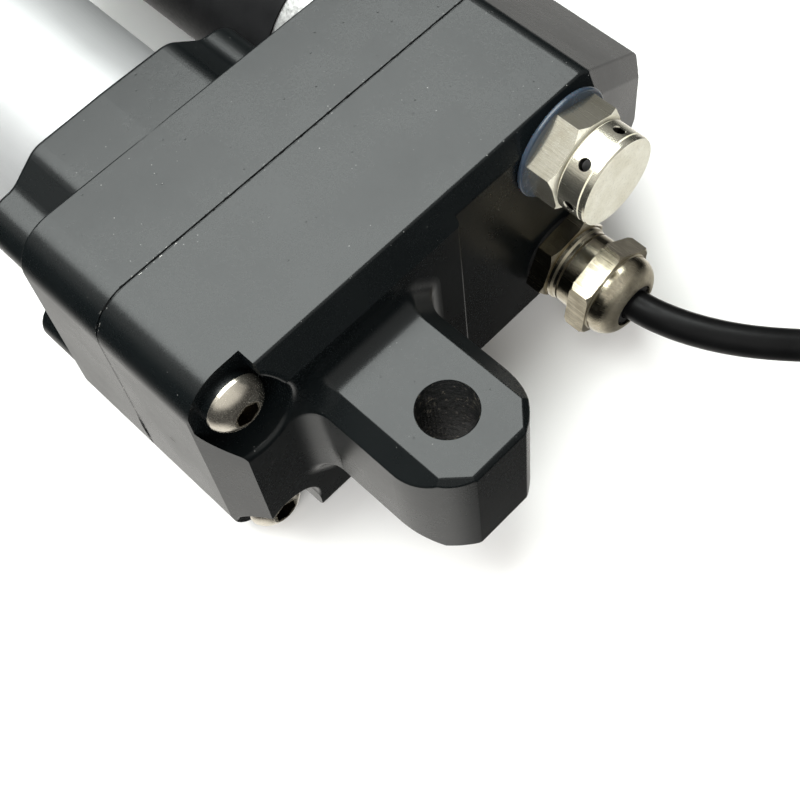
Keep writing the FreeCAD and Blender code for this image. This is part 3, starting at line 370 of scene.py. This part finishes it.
points = ROUTE + [coil_point(24.0 * k) for k in range(1, 52)]
ex, ey, ez = COIL_C[0] - COIL_R - COIL_P / 2, COIL_C[1], Z_LOW + COIL_P
points += [(ex, ey + 12.0, ez - 1.3), (ex, ey + 24.0, ez - 3.2)]
curve = bpy.data.curves.new("cable_run", "CURVE")
curve.dimensions = "3D"
curve.resolution_u = 8
curve.bevel_depth = CABLE_D / 2 * MM
curve.bevel_resolution = 8
curve.use_fill_caps = True
sp = curve.splines.new("NURBS")
sp.points.add(len(points) - 1)
for q, p in zip(sp.points, points):
    q.co = (p[0] * MM, p[1] * MM, p[2] * MM, 1.0)
sp.order_u = 3
sp.use_endpoint_u = True
cable = bpy.data.objects.new("cable_run", curve)
scene.collection.objects.link(cable)
curve.materials.append(MATS["cable"])
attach(cable, "housing")
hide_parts("cable", "cable_coil", "cable_end")


def spline_length(pts):
    """Length of the quadratic spline through its control points, end knots repeated."""
    total, last = 0.0, Vector(pts[0])
    n = len(pts)
    for i in range(n - 2):
        a = Vector(pts[i]) if i == 0 else (Vector(pts[i]) + Vector(pts[i + 1])) / 2
        b = Vector(pts[i + 1])
        c = Vector(pts[i + 2]) if i == n - 3 else (Vector(pts[i + 1]) + Vector(pts[i + 2])) / 2
        for k in range(1, 17):
            u = k / 16
            p = a * (1 - u) ** 2 + b * (2 * u * (1 - u)) + c * u * u
            total += (p - last).length
            last = p
    return total


LENGTH = spline_length(points)

# ------------------------------------------------------------------ worn edges and painted edge highlights along the casing's joint, scuffs on the bevel edge, marks on the end face
GAP = ((46.55, -7.6), (46.5, -17.6))
RUB = ((36.2, -1.9), (34.3, -2.1))


def section(y0=29.3, z0=-17.0):
    """Points round the casing's section, from low on the end face over the rounding to the motor end, with outward normals."""
    pts = []
    z = z0
    while z < 16.0:
        pts.append((y0, z, 1.0, 0.0))
        z += 0.2
    for k in range(0, 91, 2):
        a = math.radians(k)
        pts.append((21.3 + 8.0 * math.cos(a), 16.0 + 8.0 * math.sin(a), math.cos(a), math.sin(a)))
    y = 21.2
    while y > -53.4:
        pts.append((y, 24.0, 0.0, 1.0))
        y -= 0.2
    return pts


def wave(u, seed):
    return (math.sin(u * 1.7 + seed) + math.sin(u * 4.3 + 2.1 * seed) * 0.8 + math.sin(u * 11.9 + 3.7 * seed) * 0.6 + math.sin(u * 23.1 + 5.3 * seed) * 0.45) / 2.85


def ragged_edge(name, x, seed, width, cover, mat, lift=0.015, sway=0.05, start=0.0, end=500.0, path=None):
    """Thin broken ridge along the section at x, between two distances along it: its width and place wander, with gaps."""
    verts, faces, last = [], [], None
    u = 0.0
    prev = None
    for y, z, ny, nz in path or section():
        if prev:
            u += math.hypot(y - prev[0], z - prev[1])
        prev = (y, z)
        w = width * (wave(u, seed) - cover)
        if w <= 0.012 or not start <= u <= end:
            last = None
            continue
        w = min(w, width)
        cx = x + sway * wave(u * 0.7, seed + 9.0)
        ring = []
        for dx, h in ((-1.0, -0.4), (-0.7, 0.5), (0.0, 1.0), (0.7, 0.5), (1.0, -0.4)):
            ring.append(len(verts))
            q = lift + h * w * 0.45
            verts.append(((cx + dx * w) * MM, (y + ny * q) * MM, (z + nz * q) * MM))
        if last:
            for i in range(4):
                faces.append((last[i], last[i + 1], ring[i + 1], ring[i]))
        last = ring
    me = bpy.data.meshes.new(name)
    me.from_pydata(verts, [], faces)
    me.update()
    for f in me.polygons:
        f.use_smooth = True
    ob = bpy.data.objects.new(name, me)
    scene.collection.objects.link(ob)
    me.materials.append(mat)
    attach(ob, "housing")
    return ob


def sliver(name, a, b, width, y, mat, bow=0.0):
    """Pointed flat mark on the end face at y, from a to b in (x, z)."""
    n = 14
    dx, dz = b[0] - a[0], b[1] - a[1]
    run = math.hypot(dx, dz)
    px, pz = -dz / run, dx / run
    verts, faces = [], []
    for i in range(n + 1):
        u = i / n
        w = width / 2 * math.sin(math.pi * u ** 1.3) * (1 + 0.18 * wave(u * 9.0, 1.3))
        c = bow * math.sin(math.pi * u)
        for k in (-1, 1):
            verts.append(((a[0] + dx * u + px * (c + k * w)) * MM, y * MM, (a[1] + dz * u + pz * (c + k * w)) * MM))
        if i:
            faces.append((2 * i - 2, 2 * i - 1, 2 * i + 1, 2 * i))
    me = bpy.data.meshes.new(name)
    me.from_pydata(verts, [], faces)
    me.update()
    ob = bpy.data.objects.new(name, me)
    scene.collection.objects.link(ob)
    me.materials.append(mat)
    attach(ob, "housing")
    return ob


# bright metal strips along the joint and beside the rub mark: partly worn coating, partly painted highlight for the
# light caught on the rounded edges
BARE_AND_HIGHLIGHT = bare_edge_highlight()
ragged_edge("joint_edge_rear", 46.18, 0.6, 0.12, 0.12, BARE_AND_HIGHLIGHT, end=58)
ragged_edge("joint_edge_front", 46.84, 2.9, 0.11, 0.25, BARE_AND_HIGHLIGHT, end=58)
ragged_edge("joint_bead", 46.62, 7.7, 0.23, -0.62, MATS["gasket"], -0.05, 0.13, start=40)
ragged_edge("joint_lip", 46.36, 3.3, 0.18, -1.1, MATS["casting"], -0.06, 0.08, start=34)
WORN = worn_coat()
ragged_edge("joint_scuff_rear", 46.08, 1.1, 0.17, 0.10, WORN, -0.03, 0.12, start=50)
ragged_edge("joint_scuff_front", 46.94, 6.2, 0.19, 0.04, WORN, -0.03, 0.12, start=50)
ragged_edge("bevel_scuff", 21.74, 5.1, 0.17, 0.14, WORN, -0.03, 0.12, path=[(10.0 - 0.2 * i, 23.95, 0.0, 1.0) for i in range(300)])
ragged_edge("joint_fill", 46.5, 4.4, 0.40, -2.0, MATS["casting"], -0.10, 0.0, end=35)
ragged_edge("joint_fill_edge", 46.62, 1.9, 0.085, -0.30, BARE_AND_HIGHLIGHT, 0.0, 0.05, end=35)
sliver("joint_gap", GAP[0], GAP[1], 0.62, 29.44, MATS["gasket"], 0.08)
sliver("rub_mark", RUB[0], RUB[1], 0.34, 29.33, MATS["gasket"])
sliver("rub_mark_edge", (RUB[0][0], RUB[0][1] + 0.35), (RUB[1][0], RUB[1][1] + 0.35), 0.14, 29.33, BARE_AND_HIGHLIGHT)

# ------------------------------------------------------------------ camera
C = Vector((-0.074303, 0.062619, 0.2019))
F = Vector((0.3772, -0.2755, -0.8842)).normalized()
R = Vector((-0.7078, -0.7015, -0.0833))
R = (R - F * R.dot(F)).normalized()
U = R.cross(F).normalized()
cam_data = bpy.data.cameras.new("camera")
cam = bpy.data.objects.new("camera", cam_data)
scene.collection.objects.link(cam)
cam.matrix_world = Matrix(((R.x, U.x, -F.x, C.x), (R.y, U.y, -F.y, C.y), (R.z, U.z, -F.z, C.z), (0, 0, 0, 1)))
cam_data.sensor_width = 36.0
cam_data.lens = 1413.46 / 800 * 36.0
cam_data.clip_start, cam_data.clip_end = 0.005, 20
scene.camera = cam

# ------------------------------------------------------------------ floor and light
def floor_material():
    t = Tree("floor_pale")
    n = t.noise(9, 3.0, 0.5)
    t.set(Base_Color=t.mix(n, (0.87, 0.865, 0.85), (0.90, 0.895, 0.88)), Roughness=0.75, Specular_IOR_Level=0.1)
    return t.mat


bpy.ops.mesh.primitive_plane_add(size=8.0, location=(0, 0, FLOOR * MM - 0.00005))
floor = bpy.context.object
floor.name = "floor"
floor.data.materials.append(floor_material())
floor.visible_glossy = False


def area(name, loc, target, size, power, colour=(1, 1, 1), size_y=None):
    d = bpy.data.lights.new(name, "AREA")
    d.energy = power
    d.color = colour
    d.size = size
    if size_y:
        d.shape = "RECTANGLE"
        d.size_y = size_y
    o = bpy.data.objects.new(name, d)
    scene.collection.objects.link(o)
    o.location = loc
    o.rotation_euler = (Vector(target) - Vector(loc)).to_track_quat("-Z", "Y").to_euler()
    return o


area("overhead", (0.42, -0.05, 0.88), (0.02, -0.01, 0.0), 1.20, 16.5, (0.95, 1.0, 0.98), 0.70)
fill = area("fill", (0.35, 0.60, 0.75), (0.04, 0.06, 0.0), 0.60, 4.0)
front = area("front", (-0.45, 0.60, 0.65), (-0.03, 0.03, 0.0), 0.60, 7.5)
for o in (fill, front):
    o.visible_glossy = False
world = bpy.data.worlds.new("studio")
scene.world = world
world.use_nodes = True
wt = world.node_tree
bg = wt.nodes["Background"]
bg.inputs[0].default_value = (1.0, 0.985, 0.94, 1)
# the room is dark at the horizon, pale higher up, and pale below on the sides of both end faces
way = wt.nodes.new("ShaderNodeSeparateXYZ")
wt.links.new(wt.nodes.new("ShaderNodeTexCoord").outputs["Generated"], way.inputs[0])


def span(src, a, b, lo, hi):
    n = wt.nodes.new("ShaderNodeMapRange")
    n.interpolation_type = "SMOOTHSTEP"
    for k, v in (("From Min", a), ("From Max", b), ("To Min", lo), ("To Max", hi)):
        n.inputs[k].default_value = v
    wt.links.new(src, n.inputs[0])
    return n.outputs[0]


def calc(op, *srcs):
    n = wt.nodes.new("ShaderNodeMath")
    n.operation = op
    for sock, v in zip(n.inputs, srcs):
        if isinstance(v, (int, float)):
            sock.default_value = v
        else:
            wt.links.new(v, sock)
    return n.outputs[0]


WX, WY, WZ = way.outputs
above = calc("MULTIPLY", span(WZ, 0.14, 0.58, 0.01, 0.66), span(WY, -0.8, 0.0, 0.45, 1.0))
below = calc("MULTIPLY", span(WZ, -0.85, -0.45, 1.0, 0.0), span(calc("MULTIPLY_ADD", WY, 0.6, WX), -0.50, 0.05, 0.03, 1.02))
beyond = calc("MULTIPLY", span(WZ, -0.55, -0.10, 1.0, 0.0), span(WY, -0.75, -0.35, 0.85, 0.0))
wt.links.new(calc("ADD", calc("ADD", above, below), beyond), bg.inputs[1])
